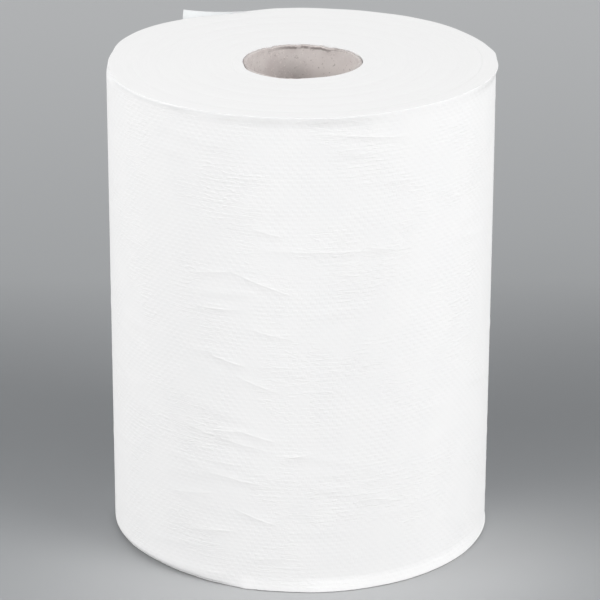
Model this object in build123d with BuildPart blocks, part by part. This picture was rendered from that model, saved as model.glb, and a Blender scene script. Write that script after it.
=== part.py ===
from build123d import *
import os

# Paper towel roll: one continuous wound web of paper round a card core tube, standing on its end.
# Origin at the centre of the base, +Z up along the core's axis, sizes in millimetres.

# Wound paper
web_width = 203.0  # height of the standing roll
roll_diameter = 159.0  # over the last turn
sheet_thickness = 0.35  # loose last turn, embossing included
rim_chamfer = 0.6  # soft corner between the upper end face and the wall
foot_radius = 1.5  # the lower corner is pressed rounder by the roll's own weight

# Free tail: the last turn leaves the wall and curls away from it
tail_azimuth = 107.0  # where it leaves, counter-clockwise from +X
tail_curl_radius = 43.0  # on the side that faces away from the roll
tail_curl_angle = 36.0

# Turn lines: the sheet's edge shows in both end faces as a spiral, drawn with one line for many turns
turn_line_count = 5
turn_line_width = 0.3
turn_line_depth = 0.3
turn_line_margin = 2.0  # plain paper left beside the wall and beside the core

# Card core
core_outer_diameter = 50.0
core_wall = 1.5
core_recess = 1.0  # each end of the core lies this far inside the paper's end face
glue_line = 0.05  # between the card and the first turn

# Sizes that follow
roll_radius = roll_diameter / 2
core_outer_radius = core_outer_diameter / 2
core_inner_radius = core_outer_radius - core_wall
paper_inner_radius = core_outer_radius + glue_line
innermost_line = paper_inner_radius + turn_line_margin
turn_line_pitch = (roll_radius - turn_line_margin - innermost_line) / turn_line_count

# The winding frame is turned so that its X axis points to the place where the tail leaves.
winding = Plane.XY.rotated((0, 0, tail_azimuth))


def spiral(start_radius, growth, turns):
    """Half turns of a spiral in the winding frame, each as (centre along X, radius, start angle).

    Tangent half circles with two centres, half of one turn's growth apart, make the radius grow.
    """
    shift = growth / 4
    half_turns = []
    for turn in range(turns):
        turn_radius = start_radius + turn * growth
        half_turns.append((-shift, turn_radius + shift, 0))
        half_turns.append((shift, turn_radius + 3 * shift, 180))
    return half_turns


with BuildPart() as wound_paper:
    # The wall is one turn of the sheet, and each half of it is the roll's upright section revolved.
    # Its radius grows by one sheet from the start of the turn, under the tail, to its end.
    for centre, radius, start_angle in spiral(roll_radius - sheet_thickness, sheet_thickness, 1):
        pivot = winding.from_local_coords((centre, 0, 0))
        facing = winding.rotated((0, 0, start_angle))
        with BuildSketch(Plane(origin=pivot, x_dir=facing.x_dir, z_dir=-facing.y_dir)) as section:
            Rectangle(radius, web_width, align=(Align.MIN, Align.MIN))
            foot_corner = section.vertices().group_by(Axis.X)[-1].sort_by(Axis.Y)[0]
            fillet(foot_corner, radius=foot_radius)
            rim_corner = section.vertices().group_by(Axis.X)[-1].sort_by(Axis.Y)[-1]
            chamfer(rim_corner, length=rim_chamfer)
        revolve(axis=Axis(pivot, (0, 0, 1)), revolution_arc=180)

    # The tail goes on from the end of that turn as a bare sheet of the web's full width
    with BuildSketch(winding):
        with BuildLine():
            curl_centre = (roll_radius + tail_curl_radius, 0)
            outside = CenterArc(curl_centre, tail_curl_radius, 180, -tail_curl_angle)
            inside = CenterArc(curl_centre, tail_curl_radius + sheet_thickness, 180, -tail_curl_angle)
            Line(outside @ 0, inside @ 0)
            Line(outside @ 1, inside @ 1)
        make_face()
    extrude(amount=web_width)

    # Way through the middle for the core
    with BuildSketch():
        Circle(paper_inner_radius)
    extrude(amount=web_width, mode=Mode.SUBTRACT)

    # Turn lines in the lower and the upper end face, from beside the core to beside the wall
    for height in (0, web_width - turn_line_depth):
        with BuildSketch(winding.offset(height)):
            for centre, radius, start_angle in spiral(innermost_line, turn_line_pitch, turn_line_count):
                with BuildLine():
                    near = CenterArc((centre, 0), radius - turn_line_width / 2, start_angle, 180)
                    far = CenterArc((centre, 0), radius + turn_line_width / 2, start_angle, 180)
                    Line(near @ 0, far @ 0)
                    Line(near @ 1, far @ 1)
                make_face()
        extrude(amount=turn_line_depth, mode=Mode.SUBTRACT)

wound_paper.part.label = "wound_paper"

with BuildPart() as core_tube:
    with BuildSketch(Plane.XY.offset(core_recess)):
        Circle(core_outer_radius)
        Circle(core_inner_radius, mode=Mode.SUBTRACT)
    extrude(amount=web_width - 2 * core_recess)

core_tube.part.label = "core_tube"

os.makedirs("parts", exist_ok=True)
export_step(wound_paper.part, "parts/wound_paper.step")
export_step(core_tube.part, "parts/core_tube.step")
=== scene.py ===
"""Looks of a paper towel roll: embossed paper wound on a card core, with the free tail at the back left.

The web is laid out flat, with its folds and its edges, and Geometry Nodes wind it round the core's axis.
Units are metres and radians unless a name says millimetres or degrees.
"""

import logging
import math
from collections.abc import Mapping, Sequence
from dataclasses import dataclass, field
from enum import Enum, IntEnum

import bpy
import numpy as np
from mathutils import Euler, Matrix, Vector


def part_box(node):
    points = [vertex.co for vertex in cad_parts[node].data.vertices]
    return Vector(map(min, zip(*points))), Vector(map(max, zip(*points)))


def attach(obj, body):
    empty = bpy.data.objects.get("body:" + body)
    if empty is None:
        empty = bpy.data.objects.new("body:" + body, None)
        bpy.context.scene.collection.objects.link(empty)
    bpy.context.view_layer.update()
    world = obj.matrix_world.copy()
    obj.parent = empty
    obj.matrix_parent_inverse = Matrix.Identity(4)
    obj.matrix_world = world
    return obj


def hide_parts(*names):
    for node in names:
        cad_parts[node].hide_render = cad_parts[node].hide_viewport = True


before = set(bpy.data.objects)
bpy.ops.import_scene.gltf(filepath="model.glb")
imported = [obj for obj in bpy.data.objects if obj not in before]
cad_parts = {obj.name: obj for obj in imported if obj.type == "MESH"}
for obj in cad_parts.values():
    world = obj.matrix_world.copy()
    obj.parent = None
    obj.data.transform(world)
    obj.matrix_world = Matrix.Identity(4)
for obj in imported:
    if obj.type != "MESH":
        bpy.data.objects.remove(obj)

Array = np.ndarray
Socket = bpy.types.NodeSocket
Span = tuple[float, float]  # the two ends of a range
Colour = tuple[float, float, float, float]

MM = 0.001
FULL_TURN = 2 * math.pi
BLACK: Colour = (0, 0, 0, 1)
NOISE_SPREAD: Span = (0.35, 0.65)  # most of a noise's values lie between these
SHARPEST = 0.001 * MM  # the least radius of a soft corner
WEB_PLACE = "web_place"  # attribute: where a corner lies on the flat web
EDGE_MASK = "cut_edge"  # attribute: whether a face shows the web's cut edges

# A fold's outline: how soon it dies out lengthwise, and its hollow's place and width in ridge widths
FOLD_FADE = 1.6
HOLLOW_PLACE = 2.1
HOLLOW_WIDTH = 1.5
LINE_FADE: Span = (0.15, 0.6)  # its sharp line dies out between these, in fold lengths from the middle
STRONG_RISE_MM = 0.2  # a fold that rises this far is drawn at full strength

report = logging.getLogger("towel_roll")


class PaperFace(IntEnum):
    """Which side of the paper a face of the wound mesh shows, as its material's index."""

    WEB = 0
    EDGE = 1


class RollEnd(Enum):
    """One of the two end faces of the standing roll."""

    FOOT = "foot"
    RIM = "rim"


# Sizes and small rules that the pieces share


@dataclass(frozen=True)
class Swell:
    """A soft rise over one stretch of the way round the roll, or a hollow where it is negative."""

    amount: float
    span: tuple[float, float, float, float]  # degrees: where it starts, is full, begins to fall, ends

    def at(self, azimuth: Array) -> Array:
        """The rise at each azimuth, given in degrees."""
        return self.amount * window(azimuth, *self.span)


def swell_sum(azimuth: Array, swells: Sequence[Swell]) -> Array:
    """Several swells added up at each azimuth, given in degrees."""
    return sum(swell.at(azimuth) for swell in swells)


@dataclass(frozen=True)
class RollSizes:
    """Sizes of the roll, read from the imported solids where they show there."""

    web_width: float
    roll_radius: float
    card_radius: float
    card_low: float
    card_high: float
    sheet: float = 0.35 * MM
    glue_line: float = 0.05 * MM
    card_wall: float = 1.5 * MM
    tail_azimuth: float = math.radians(107)
    curl_radius: float = 43 * MM
    curl_angle: float = math.radians(38)
    hole_shift: tuple[float, float] = (0.7 * MM, -0.6 * MM)
    hole_shrink: float = 0.3 * MM
    hole_swells: tuple[Swell, ...] = (
        Swell(0.9 * MM, (190, 212, 248, 276)),
        Swell(-0.8 * MM, (34, 48, 58, 74)),
    )

    @classmethod
    def from_frame(cls) -> "RollSizes":
        """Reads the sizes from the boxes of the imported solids.

        Returns:
            The sizes of this roll.
        """
        paper_low, paper_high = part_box("wound_paper")
        card_low, card_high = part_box("core_tube")
        turned_at_front = (math.radians(270) - cls.tail_azimuth) / FULL_TURN
        return cls(
            web_width=paper_high.z - paper_low.z,
            roll_radius=cls.sheet * (1 - turned_at_front) - paper_low.y,
            card_radius=card_high.x,
            card_low=card_low.z,
            card_high=card_high.z,
        )

    @property
    def turn_length(self) -> float:
        """Length of web in the last turn."""
        return FULL_TURN * self.roll_radius

    @property
    def tail_length(self) -> float:
        """Length of web in the free tail."""
        return self.curl_radius * self.curl_angle

    @property
    def paper_bore(self) -> float:
        """Radius of the hole in the paper."""
        return self.card_radius + self.glue_line

    def azimuth_degrees(self, along: Array) -> Array:
        """Azimuth of a place on the last turn, from the tail's root once round.

        Args:
            along: Distance along the web from the start of the last turn.

        Returns:
            Degrees counter-clockwise from +X, between the tail's azimuth and one turn more.
        """
        return np.degrees(self.tail_azimuth + FULL_TURN * along / self.turn_length)

    def hole_offset(self, azimuth: Array) -> Array:
        """How far the pressed core and the hole in the paper stand off their even circle.

        Args:
            azimuth: Degrees counter-clockwise from +X.

        Returns:
            The offset outwards at each place.
        """
        facing = np.radians(azimuth)
        shift_x, shift_y = self.hole_shift
        circle = shift_x * np.cos(facing) + shift_y * np.sin(facing) - self.hole_shrink
        return circle + swell_sum(azimuth % 360, self.hole_swells)


def smooth_step(low: float, high: float, value: Array) -> Array:
    """Rises smoothly from 0 at low to 1 at high.

    Args:
        low: Where the rise starts.
        high: Where it ends, which may be less than low for a fall.
        value: The places to look up.

    Returns:
        The share reached at each place.
    """
    share = np.clip((value - low) / (high - low), 0, 1)
    return share * share * (3 - 2 * share)


def window(value: Array, start: float, full: float, last: float, end: float) -> Array:
    """A smooth window: 0 up to start, 1 from full to last, and 0 again from end.

    Args:
        value: The places to look up.
        start: Where the window begins to open.
        full: Where it is fully open.
        last: Where it begins to close.
        end: Where it is closed.

    Returns:
        The window's value at each place.
    """
    return smooth_step(start, full, value) * smooth_step(end, last, value)


def through_points(value: Array, points: Sequence[tuple[float, float]]) -> Array:
    """A smooth line through given points, level before the first and after the last.

    Args:
        value: The places to look up.
        points: The points, each as a place and the line's value there.

    Returns:
        The line's value at each place.
    """
    line = np.full_like(value, points[0][1])
    for (start, before), (end, after) in zip(points, points[1:]):
        line = line + (after - before) * smooth_step(start, end, value)
    return line


def soft_waves(places: Array, period: float, count: int, seed: int) -> Array:
    """A smooth random line that repeats after one period, from a few sine waves.

    Args:
        places: The places to look up.
        period: Distance after which the line repeats.
        count: Number of waves; wave n makes n bends in one period.
        seed: Seed of the random phases and shares.

    Returns:
        Values that lie mostly between -1 and 1.
    """
    random = np.random.default_rng(seed)
    total = np.zeros_like(places)
    for bends in range(1, count + 1):
        phase = random.uniform(0, FULL_TURN)
        total += random.uniform(0.5, 1) * np.sin(FULL_TURN * bends * places / period + phase)
    return total / math.sqrt(count)


@dataclass(frozen=True)
class Crease:
    """A shallow fold in the loose last turn: a narrow ridge with a wider hollow under it."""

    azimuth: float  # degrees
    height_mm: float
    length_mm: float
    slope: float  # degrees, upwards with the azimuth
    rise_mm: float = 0.13
    ridge_mm: float = 1.5
    hollow_share: float = 0.35

    def along(self, sizes: RollSizes) -> float:
        """Where the fold's middle lies along the last turn."""
        share = (math.radians(self.azimuth) - sizes.tail_azimuth) / FULL_TURN % 1
        return share * sizes.turn_length

    def rise_at(self, along: Array, height: Array, sizes: RollSizes) -> Array:
        """How far the fold lifts the sheet.

        Args:
            along: Distance along the web from the start of the last turn.
            height: Height across the web.
            sizes: The roll's sizes.

        Returns:
            The lift at each place.
        """
        aside = (along - self.along(sizes)) / MM
        up = height / MM - self.height_mm
        tilt = math.radians(self.slope)
        lengthwise = (aside * math.cos(tilt) + up * math.sin(tilt)) / self.length_mm
        across = (up * math.cos(tilt) - aside * math.sin(tilt)) / self.ridge_mm
        fade = np.clip(1 - (FOLD_FADE * lengthwise) ** 2, 0, 1) ** 2
        ridge = np.exp(-(across**2))
        hollow = self.hollow_share * np.exp(-(((across + HOLLOW_PLACE) / HOLLOW_WIDTH) ** 2))
        return self.rise_mm * MM * fade * (ridge - hollow)


# Folds that the photograph shows on the front of the wall, listed one by one
FRONT_CREASES = (
    Crease(258.5, 133, 29, -19, rise_mm=0.16),
    Crease(243, 136, 24, 9, rise_mm=0.1),
    Crease(245, 121, 24, 4, rise_mm=0.1),
    Crease(261, 112, 19, -12, rise_mm=0.12),
    Crease(248, 99, 18, -12, rise_mm=0.16),
    Crease(257, 90, 20, -18, rise_mm=0.12),
    Crease(249, 69, 18, 4, rise_mm=0.14),
    Crease(257, 67.5, 19, -14, rise_mm=0.14),
    Crease(247, 65, 46, -11, rise_mm=0.1, hollow_share=0.9),
    Crease(268, 59.5, 15, 10, rise_mm=0.13),
    Crease(247, 54.5, 15, -4, rise_mm=0.08),
    Crease(253, 47.5, 34, -7, rise_mm=0.12),
    Crease(236.5, 39, 22, 10, rise_mm=0.07),
    Crease(256.5, 32, 22, -18, rise_mm=0.15),
    Crease(242.5, 24, 24, 7, rise_mm=0.13),
    Crease(260, 155, 15, -14, rise_mm=0.12),
    Crease(276, 147, 57, -2, rise_mm=0.1),
    Crease(289, 194, 40, -7, rise_mm=0.16, ridge_mm=1.2),
    Crease(297, 174, 16, -5, rise_mm=0.07),
    Crease(293, 147, 16, -11, rise_mm=0.1),
    Crease(296, 38, 14, -14, rise_mm=0.1),
)


def scattered_creases(count: int, web_width: float, seed: int) -> list[Crease]:
    """Fainter folds scattered over the whole wall.

    Args:
        count: Number of folds.
        web_width: Height of the wall.
        seed: Seed of their places and sizes.

    Returns:
        The folds.
    """
    random = np.random.default_rng(seed)
    folds = []
    for _ in range(count):
        fold = Crease(
            azimuth=random.uniform(0, 360),
            height_mm=random.uniform(0.06, 0.95) * web_width / MM,
            length_mm=random.uniform(10, 42),
            slope=random.normal(-4, 8),
            rise_mm=random.uniform(0.03, 0.12),
            ridge_mm=random.uniform(1.3, 2.4),
        )
        folds.append(fold)
    return folds


# Node trees


class NodeSketch:
    """Short calls that add nodes to one tree and link them."""

    def __init__(self, tree: bpy.types.NodeTree) -> None:
        """Starts on a tree.

        Args:
            tree: The tree that gets the nodes.
        """
        self.tree = tree

    def add(
        self,
        kind: str,
        inputs: Mapping[str | int, object] | None = None,
        settings: Mapping[str, object] | None = None,
    ) -> bpy.types.Node:
        """Adds a node, sets its options and fills its inputs.

        Args:
            kind: The node's type name.
            inputs: A value or an output socket for each named or numbered input.
            settings: A value for each of the node's own properties.

        Returns:
            The new node.
        """
        node = self.tree.nodes.new(kind)
        for name, value in (settings or {}).items():
            setattr(node, name, value)
        for key, value in (inputs or {}).items():
            if isinstance(value, bpy.types.NodeSocket):
                self.tree.links.new(value, node.inputs[key])
            else:
                node.inputs[key].default_value = value
        return node

    def math(self, operation: str, *values: object) -> Socket:
        """A Math node.

        Args:
            operation: The node's operation.
            *values: Numbers or sockets for its inputs, in order.

        Returns:
            Its result.
        """
        settings = {"operation": operation}
        return self.add("ShaderNodeMath", dict(enumerate(values)), settings).outputs[0]

    def remap(self, value: Socket, old: Span, new: Span = (0, 1)) -> Socket:
        """A smooth Map Range node.

        Args:
            value: The number to remap.
            old: The range that it comes from.
            new: The range that it goes to.

        Returns:
            The remapped number.
        """
        ends = {"Value": value, "From Min": old[0], "From Max": old[1], "To Min": new[0], "To Max": new[1]}
        settings = {"interpolation_type": "SMOOTHSTEP"}
        return self.add("ShaderNodeMapRange", ends, settings).outputs[0]

    def vector(self, x: object, y: object, z: object) -> Socket:
        """Combines three numbers into a vector."""
        return self.add("ShaderNodeCombineXYZ", {0: x, 1: y, 2: z}).outputs[0]

    def split(self, vector: Socket) -> bpy.types.NodeOutputs:
        """Splits a vector into its three numbers."""
        return self.add("ShaderNodeSeparateXYZ", {0: vector}).outputs

    def noise(self, vector: Socket, scale: object, detail: float = 2, roughness: float = 0.5) -> Socket:
        """A Noise Texture.

        Args:
            vector: Where to look it up.
            scale: Its scale.
            detail: Number of octaves.
            roughness: How strongly the finer octaves count.

        Returns:
            Its value, about 0.5 on average.
        """
        inputs = {"Vector": vector, "Scale": scale, "Detail": detail, "Roughness": roughness}
        return self.add("ShaderNodeTexNoise", inputs).outputs["Fac"]

    def vector_math(self, operation: str, *vectors: object) -> bpy.types.NodeOutputs:
        """A Vector Math node.

        Args:
            operation: The node's operation.
            *vectors: Vectors or sockets for its inputs, in order.

        Returns:
            Its outputs, named Vector and Value.
        """
        settings = {"operation": operation}
        return self.add("ShaderNodeVectorMath", dict(enumerate(vectors)), settings).outputs

    def group(self, tree: bpy.types.NodeTree, inputs: Mapping[str, object]) -> bpy.types.NodeOutputs:
        """A node that runs a shader group.

        Args:
            tree: The group's tree.
            inputs: A value or a socket for each of its named inputs.

        Returns:
            Its outputs.
        """
        return self.add("ShaderNodeGroup", inputs, {"node_tree": tree}).outputs

    def object_place(self) -> Socket:
        """The surface's place in object coordinates."""
        return self.add("ShaderNodeTexCoord").outputs["Object"]

    def web_place(self) -> Socket:
        """The surface's place on the flat web."""
        return self.add("ShaderNodeAttribute", settings={"attribute_name": WEB_PLACE}).outputs["Vector"]

    def dress(self, shader: bpy.types.Node, colour: Socket, relief: Socket | None = None) -> None:
        """Gives a Principled BSDF its colour and its relief.

        Args:
            shader: The Principled BSDF.
            colour: Its base colour.
            relief: Height of its bump in millimetres, if it has one.
        """
        self.tree.links.new(colour, shader.inputs["Base Color"])
        if relief is not None:
            bump = self.add("ShaderNodeBump", {"Height": relief, "Distance": MM})
            self.tree.links.new(bump.outputs[0], shader.inputs["Normal"])

    def seen_directly(self) -> Socket:
        """Tells a direct look at the surface from light that only bounces off it.

        Returns:
            1 where the camera, a gloss or a glass looks at the surface, and 0 elsewhere.
        """
        path = self.add("ShaderNodeLightPath").outputs
        mirrored = self.math("MAXIMUM", path["Is Glossy Ray"], path["Is Transmission Ray"])
        return self.math("MAXIMUM", path["Is Camera Ray"], mirrored)

    def mix(self, share: Socket, first: object, second: object) -> Socket:
        """Mixes two colours.

        Args:
            share: 0 for the first colour and 1 for the second.
            first: A colour or a socket.
            second: A colour or a socket.

        Returns:
            The mixed colour.
        """
        inputs = {"Factor": share, 6: first, 7: second}
        return self.add("ShaderNodeMix", inputs, {"data_type": "RGBA"}).outputs[2]


@dataclass(frozen=True)
class TreeInput:
    """A named input of a node group, with its value at rest."""

    name: str
    kind: str = "NodeSocketFloat"
    default: object = None


def new_group(
    name: str, kind: str, inputs: Sequence[TreeInput], outputs: Sequence[TreeInput]
) -> tuple[bpy.types.NodeTree, NodeSketch, bpy.types.NodeOutputs, bpy.types.Node]:
    """Makes a node group with its inputs and outputs.

    Args:
        name: The group's name.
        kind: ShaderNodeTree or GeometryNodeTree.
        inputs: Its named inputs.
        outputs: Its named outputs.

    Returns:
        The tree, a sketch on it, its inputs' sockets and its output node.
    """
    tree = bpy.data.node_groups.new(name, kind)
    for direction, sockets in (("INPUT", inputs), ("OUTPUT", outputs)):
        for item in sockets:
            socket = tree.interface.new_socket(item.name, in_out=direction, socket_type=item.kind)
            if item.default is not None:
                socket.default_value = item.default
    sketch = NodeSketch(tree)
    given = sketch.add("NodeGroupInput").outputs
    result = sketch.add("NodeGroupOutput")
    return tree, sketch, given, result


def winding_tree() -> bpy.types.NodeTree:
    """Builds the tree that winds a flat web round the Z axis.

    On the flat web, X runs along its length, Y is the height and Z stands off its outer face. The radius
    grows by one sheet in one turn. What lies past the end of that turn curls away as the free tail.

    Returns:
        The Geometry Nodes tree.
    """
    inputs = (
        TreeInput("Geometry", "NodeSocketGeometry"),
        TreeInput("Start Radius", default=0.079),
        TreeInput("Sheet Step", default=0.0),
        TreeInput("Turn Length", default=0.5),
        TreeInput("Start Azimuth", default=0.0),
        TreeInput("Curl Radius", default=0.043),
        TreeInput("Sharp Angle", default=math.radians(55)),
        TreeInput("Web Finish", "NodeSocketMaterial"),
        TreeInput("Edge Finish", "NodeSocketMaterial"),
    )
    outputs = (TreeInput("Geometry", "NodeSocketGeometry"),)
    tree, sketch, given, result = new_group("web_winding", "GeometryNodeTree", inputs, outputs)

    along, height, rise = sketch.split(sketch.add("GeometryNodeInputPosition").outputs[0])
    share = sketch.math("DIVIDE", sketch.math("MINIMUM", along, given["Turn Length"]), given["Turn Length"])
    angle = sketch.math("MULTIPLY", share, FULL_TURN)
    growth = sketch.math("MULTIPLY_ADD", share, given["Sheet Step"], given["Start Radius"])
    radius = sketch.math("ADD", growth, rise)
    wound = sketch.vector(
        sketch.math("MULTIPLY", radius, sketch.math("COSINE", angle)),
        sketch.math("MULTIPLY", radius, sketch.math("SINE", angle)),
        height,
    )

    past_end = sketch.math("SUBTRACT", along, given["Turn Length"])
    curl = sketch.math("DIVIDE", past_end, given["Curl Radius"])
    curl_centre = sketch.math("ADD", growth, given["Curl Radius"])
    arm = sketch.math("SUBTRACT", given["Curl Radius"], rise)
    curled = sketch.vector(
        sketch.math("SUBTRACT", curl_centre, sketch.math("MULTIPLY", arm, sketch.math("COSINE", curl))),
        sketch.math("MULTIPLY", arm, sketch.math("SINE", curl)),
        height,
    )

    is_tail = sketch.math("GREATER_THAN", past_end, 0.0)
    route = sketch.add("GeometryNodeSwitch", {"Switch": is_tail}, {"input_type": "VECTOR"})
    tree.links.new(wound, route.inputs["False"])
    tree.links.new(curled, route.inputs["True"])
    turn = {"Vector": route.outputs[0], "Angle": given["Start Azimuth"]}
    turned = sketch.add("ShaderNodeVectorRotate", turn, {"rotation_type": "Z_AXIS"}).outputs[0]
    moved = sketch.add("GeometryNodeSetPosition", {"Geometry": given["Geometry"], "Position": turned})

    smooth = sketch.add("GeometryNodeSetShadeSmooth", {0: moved.outputs[0]}, {"domain": "FACE"})
    edge_angle = sketch.add("GeometryNodeInputMeshEdgeAngle").outputs[0]
    is_sharp = sketch.math("GREATER_THAN", edge_angle, given["Sharp Angle"])
    sharp_inputs = {0: smooth.outputs[0], "Selection": is_sharp, "Shade Smooth": False}
    sharp = sketch.add("GeometryNodeSetShadeSmooth", sharp_inputs, {"domain": "EDGE"})

    real = sketch.add("GeometryNodeRealizeInstances", {0: sharp.outputs[0]})
    web = sketch.add("GeometryNodeSetMaterial", {0: real.outputs[0], "Material": given["Web Finish"]})
    is_edge = sketch.add("GeometryNodeInputNamedAttribute", {"Name": EDGE_MASK}, {"data_type": "BOOLEAN"})
    edge_inputs = {0: web.outputs[0], "Selection": is_edge.outputs[0], "Material": given["Edge Finish"]}
    edge = sketch.add("GeometryNodeSetMaterial", edge_inputs)
    tree.links.new(edge.outputs[0], result.inputs[0])
    return tree


def fuzz_tree() -> bpy.types.NodeTree:
    """Builds the tree that scatters torn card fibres along the cut end of the core.

    Returns:
        The Geometry Nodes tree.
    """
    inputs = (
        TreeInput("Geometry", "NodeSocketGeometry"),
        TreeInput("Fibres per Area", default=1e6),
        TreeInput("Fibre Length", default=0.001),
        TreeInput("Fibre Radius", default=0.00005),
        TreeInput("Seed", "NodeSocketInt", 0),
        TreeInput("Finish", "NodeSocketMaterial"),
    )
    outputs = (TreeInput("Geometry", "NodeSocketGeometry"),)
    tree, sketch, given, result = new_group("edge_fuzz", "GeometryNodeTree", inputs, outputs)

    span = {"Mesh": given["Geometry"], "Density": given["Fibres per Area"], "Seed": given["Seed"]}
    roots = sketch.add("GeometryNodeDistributePointsOnFaces", span)

    bend_share = 0.35
    most_lean = 1.3
    least_size = 0.35
    sides = 4
    half = sketch.math("MULTIPLY", given["Fibre Length"], 0.5)
    bend = sketch.vector(sketch.math("MULTIPLY", given["Fibre Length"], bend_share), 0.0, half)
    tip = sketch.vector(0.0, 0.0, given["Fibre Length"])
    line = {"Resolution": sides, "Start": (0, 0, 0), "Middle": bend, "End": tip}
    curve = sketch.add("GeometryNodeCurveQuadraticBezier", line)
    ring = {"Resolution": sides, "Radius": given["Fibre Radius"]}
    section = sketch.add("GeometryNodeCurvePrimitiveCircle", ring)
    body = {"Curve": curve.outputs[0], "Profile Curve": section.outputs[0], "Fill Caps": True}
    fibre = sketch.add("GeometryNodeCurveToMesh", body)

    lean = {"Min": (-most_lean, -most_lean, 0), "Max": (most_lean, most_lean, FULL_TURN)}
    lean["Seed"] = given["Seed"]
    angles = sketch.add("FunctionNodeRandomValue", lean, {"data_type": "FLOAT_VECTOR"})
    size = {2: least_size, 3: 1.0, "Seed": given["Seed"]}  # sockets 2 and 3 are the float's Min and Max
    scale = sketch.add("FunctionNodeRandomValue", size, {"data_type": "FLOAT"})
    stand = {"Points": roots.outputs[0], "Instance": fibre.outputs[0]}
    pose = {"Rotation": angles.outputs[0], "Scale": scale.outputs[1]}
    planted = sketch.add("GeometryNodeInstanceOnPoints", stand | pose)
    real = sketch.add("GeometryNodeRealizeInstances", {0: planted.outputs[0]})
    dressed = sketch.add("GeometryNodeSetMaterial", {0: real.outputs[0], "Material": given["Finish"]})
    tree.links.new(dressed.outputs[0], result.inputs[0])
    return tree


def add_to_scene(name: str, data: bpy.types.ID) -> bpy.types.Object:
    """Makes an object and links it into the scene.

    Args:
        name: The object's name.
        data: Its mesh, lamp or camera.

    Returns:
        The object.
    """
    thing = bpy.data.objects.new(name, data)
    bpy.context.scene.collection.objects.link(thing)
    return thing


def run_tree(
    name: str, base: bpy.types.Mesh, tree: bpy.types.NodeTree, values: Mapping[str, object]
) -> bpy.types.Object:
    """Runs a Geometry Nodes tree on a mesh and keeps the result as a plain object.

    Args:
        name: Name of the finished piece.
        base: The mesh that the tree starts from.
        tree: The tree.
        values: A value for each of the tree's named inputs.

    Returns:
        The finished piece, with no modifier on it.
    """
    carrier = add_to_scene(name + "_base", base)
    modifier = carrier.modifiers.new(tree.name, "NODES")
    modifier.node_group = tree
    for item in tree.interface.items_tree:
        if item.in_out == "INPUT" and item.name in values:
            modifier[item.identifier] = values[item.name]
    graph = bpy.context.evaluated_depsgraph_get()
    wound = carrier.evaluated_get(graph)
    mesh = bpy.data.meshes.new_from_object(wound, preserve_all_data_layers=True, depsgraph=graph)
    bpy.data.objects.remove(carrier)
    mesh.name = name
    return add_to_scene(name, mesh)


def mesh_from(
    name: str,
    places: Array,
    faces: Array,
    web_place: Array | None = None,
    edge_faces: Array | None = None,
) -> bpy.types.Mesh:
    """Makes a mesh from corner places and quads, where a quad with a doubled corner is a triangle.

    Args:
        name: The mesh's name.
        places: One row of three coordinates for each corner.
        faces: One row of four corner numbers for each face.
        web_place: Place of each corner on the flat web, kept as an attribute, if it lies on one.
        edge_faces: For each face, whether it shows the cut edges of the web, if any does.

    Returns:
        The mesh.
    """
    outlines, edge_marks = [], []
    for number, face in enumerate(faces.tolist()):
        corners = list(dict.fromkeys(face))
        if len(corners) > 2:
            outlines.append(corners)
            edge_marks.append(bool(edge_faces is not None and edge_faces[number]))
    mesh = bpy.data.meshes.new(name)
    mesh.from_pydata(places.tolist(), [], outlines)
    marks = mesh.attributes.new(EDGE_MASK, "BOOLEAN", "FACE")
    marks.data.foreach_set("value", edge_marks)
    if web_place is not None:
        flat = mesh.attributes.new(WEB_PLACE, "FLOAT_VECTOR", "POINT")
        flat.data.foreach_set("vector", web_place.astype(np.float32).ravel())
    return mesh


@dataclass
class FlatNet:
    """Corners and faces of a web that lies flat, collected one grid at a time."""

    places: list[Array] = field(default_factory=list)
    patterns: list[Array] = field(default_factory=list)
    faces: list[Array] = field(default_factory=list)
    edge_faces: list[Array] = field(default_factory=list)
    count: int = 0

    def corners(
        self, along: Array, height: Array, rise: Array, pattern: tuple[Array, Array] | None = None
    ) -> Array:
        """Adds a grid of corners.

        Args:
            along: Distance along the web.
            height: Height across the web.
            rise: Distance off the web's outer face.
            pattern: The two distances that the finish follows, if they are others.

        Returns:
            The corners' numbers, in the shape of the grid.
        """
        along, height, rise = np.broadcast_arrays(along, height, rise)
        pattern_along, pattern_height = pattern or (along, height)
        flat = np.broadcast_arrays(pattern_along, pattern_height, rise)
        self.places.append(np.stack([along, height, rise], -1).reshape(-1, 3))
        self.patterns.append(np.stack(flat, -1).reshape(-1, 3))
        numbers = np.arange(self.count, self.count + along.size).reshape(along.shape)
        self.count += along.size
        return numbers

    def skin(self, grid: Array, side: PaperFace, flip: bool = False) -> None:
        """Covers a grid of corners with quads.

        Args:
            grid: The corners' numbers.
            side: The side of the paper that these faces show.
            flip: True turns the faces over.
        """
        quads = np.stack([grid[:-1, :-1], grid[:-1, 1:], grid[1:, 1:], grid[1:, :-1]], -1).reshape(-1, 4)
        self.faces.append(quads[:, ::-1] if flip else quads)
        self.edge_faces.append(np.full(len(quads), side is PaperFace.EDGE))

    def mesh(self, name: str) -> bpy.types.Mesh:
        """Makes the mesh of all grids.

        Args:
            name: The mesh's name.

        Returns:
            The flat mesh.
        """
        return mesh_from(
            name,
            np.concatenate(self.places),
            np.concatenate(self.faces),
            np.concatenate(self.patterns),
            np.concatenate(self.edge_faces),
        )


def soft_corner(distance: Array, radius: Array) -> tuple[Array, Array]:
    """Bends a square corner onto a quarter circle.

    Args:
        distance: Distance from the corner, positive up the wall and negative along the end face.
        radius: Radius of the quarter circle.

    Returns:
        The place's distance in from the wall and its distance up from the end face.
    """
    radius = np.maximum(radius, SHARPEST)
    turn = np.clip(1 - distance / radius, 0, 2) * math.pi / 4
    inset = radius * (1 - np.cos(turn)) + np.maximum(-distance - radius, 0)
    lift = radius * (1 - np.sin(turn)) + np.maximum(distance - radius, 0)
    return inset, lift


# Finishes


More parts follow.
